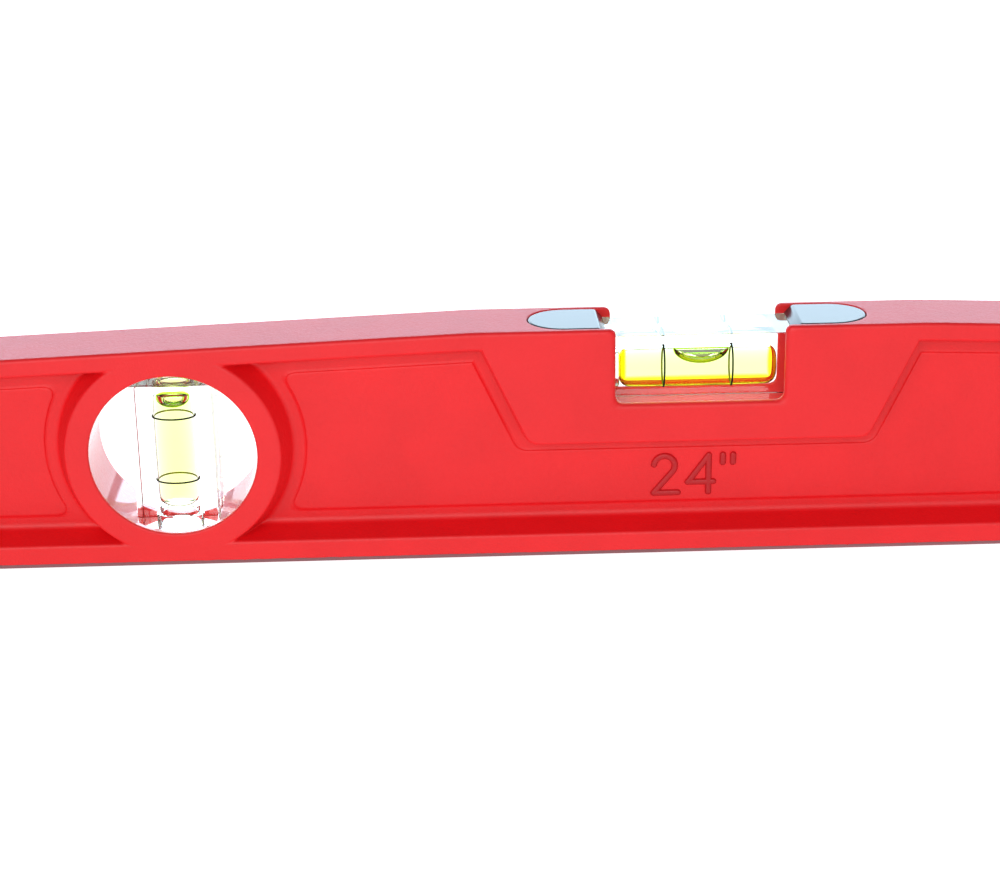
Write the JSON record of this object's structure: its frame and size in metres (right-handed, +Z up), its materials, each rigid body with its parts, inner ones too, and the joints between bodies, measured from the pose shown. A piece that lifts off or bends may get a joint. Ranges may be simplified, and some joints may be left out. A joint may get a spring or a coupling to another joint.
{
  "type": "spirit level",
  "caption": "Cast I-beam spirit level with a level vial in a top notch, a plumb vial in a round window and a milled magnetic base.",
  "frame": {"origin": "middle of the milled base face", "axes": "+X along the beam, away from the plumb window; +Y from the front face to the back; +Z up, from the base to the top"},
  "size_m": [0.6096, 0.021, 0.0605],
  "materials": {
    "powder_coated_casting": "fine sandy red powder coat on a cast aluminium beam, milled bare along the base",
    "clear_acrylic": "polished clear acrylic",
    "vial_liquid": "clear yellow-green spirit",
    "bubble": "air bubble",
    "clear_plug": "moulded clear plastic",
    "ring_ink": "matt black",
    "adhesive": "cured clear epoxy",
    "cap_plastic": "semi-gloss dark grey moulded plastic",
    "magnet_plating": "nickel plate"
  },
  "bodies": {
    "beam": {"beam_casting": "powder_coated_casting", "level_vial_block": "clear_acrylic", "level_vial_liquid": "vial_liquid", "level_vial_plug": "clear_plug", "level_vial_ring_left": "ring_ink", "level_vial_ring_right": "ring_ink", "level_vial_adhesive": "adhesive", "plumb_vial_block": "clear_acrylic", "plumb_vial_liquid": "vial_liquid", "plumb_vial_plug": "clear_plug", "plumb_vial_ring_lower": "ring_ink", "plumb_vial_ring_upper": "ring_ink", "plumb_vial_adhesive": "adhesive", "retainer_cap_left": "cap_plastic", "retainer_cap_right": "cap_plastic", "magnet_left_outer": "magnet_plating", "magnet_left_inner": "magnet_plating", "magnet_right_inner": "magnet_plating", "magnet_right_outer": "magnet_plating"},
    "level_bubble": {"level_vial_bubble": "bubble"},
    "plumb_bubble": {"plumb_vial_bubble": "bubble"}
  },
  "joints": [
    {"name": "level_bubble_slide", "type": "slide", "parent": "beam", "child": "level_bubble", "axis": [1, 0, 0], "range_m": [-0.0108, 0.009], "stiffness_N_per_m": 0.4},
    {"name": "plumb_bubble_slide", "type": "slide", "parent": "beam", "child": "plumb_bubble", "axis": [0, 0, 1], "range_m": [-0.0258, 0], "stiffness_N_per_m": 0.4, "springref_m": 0.03}
  ]
}
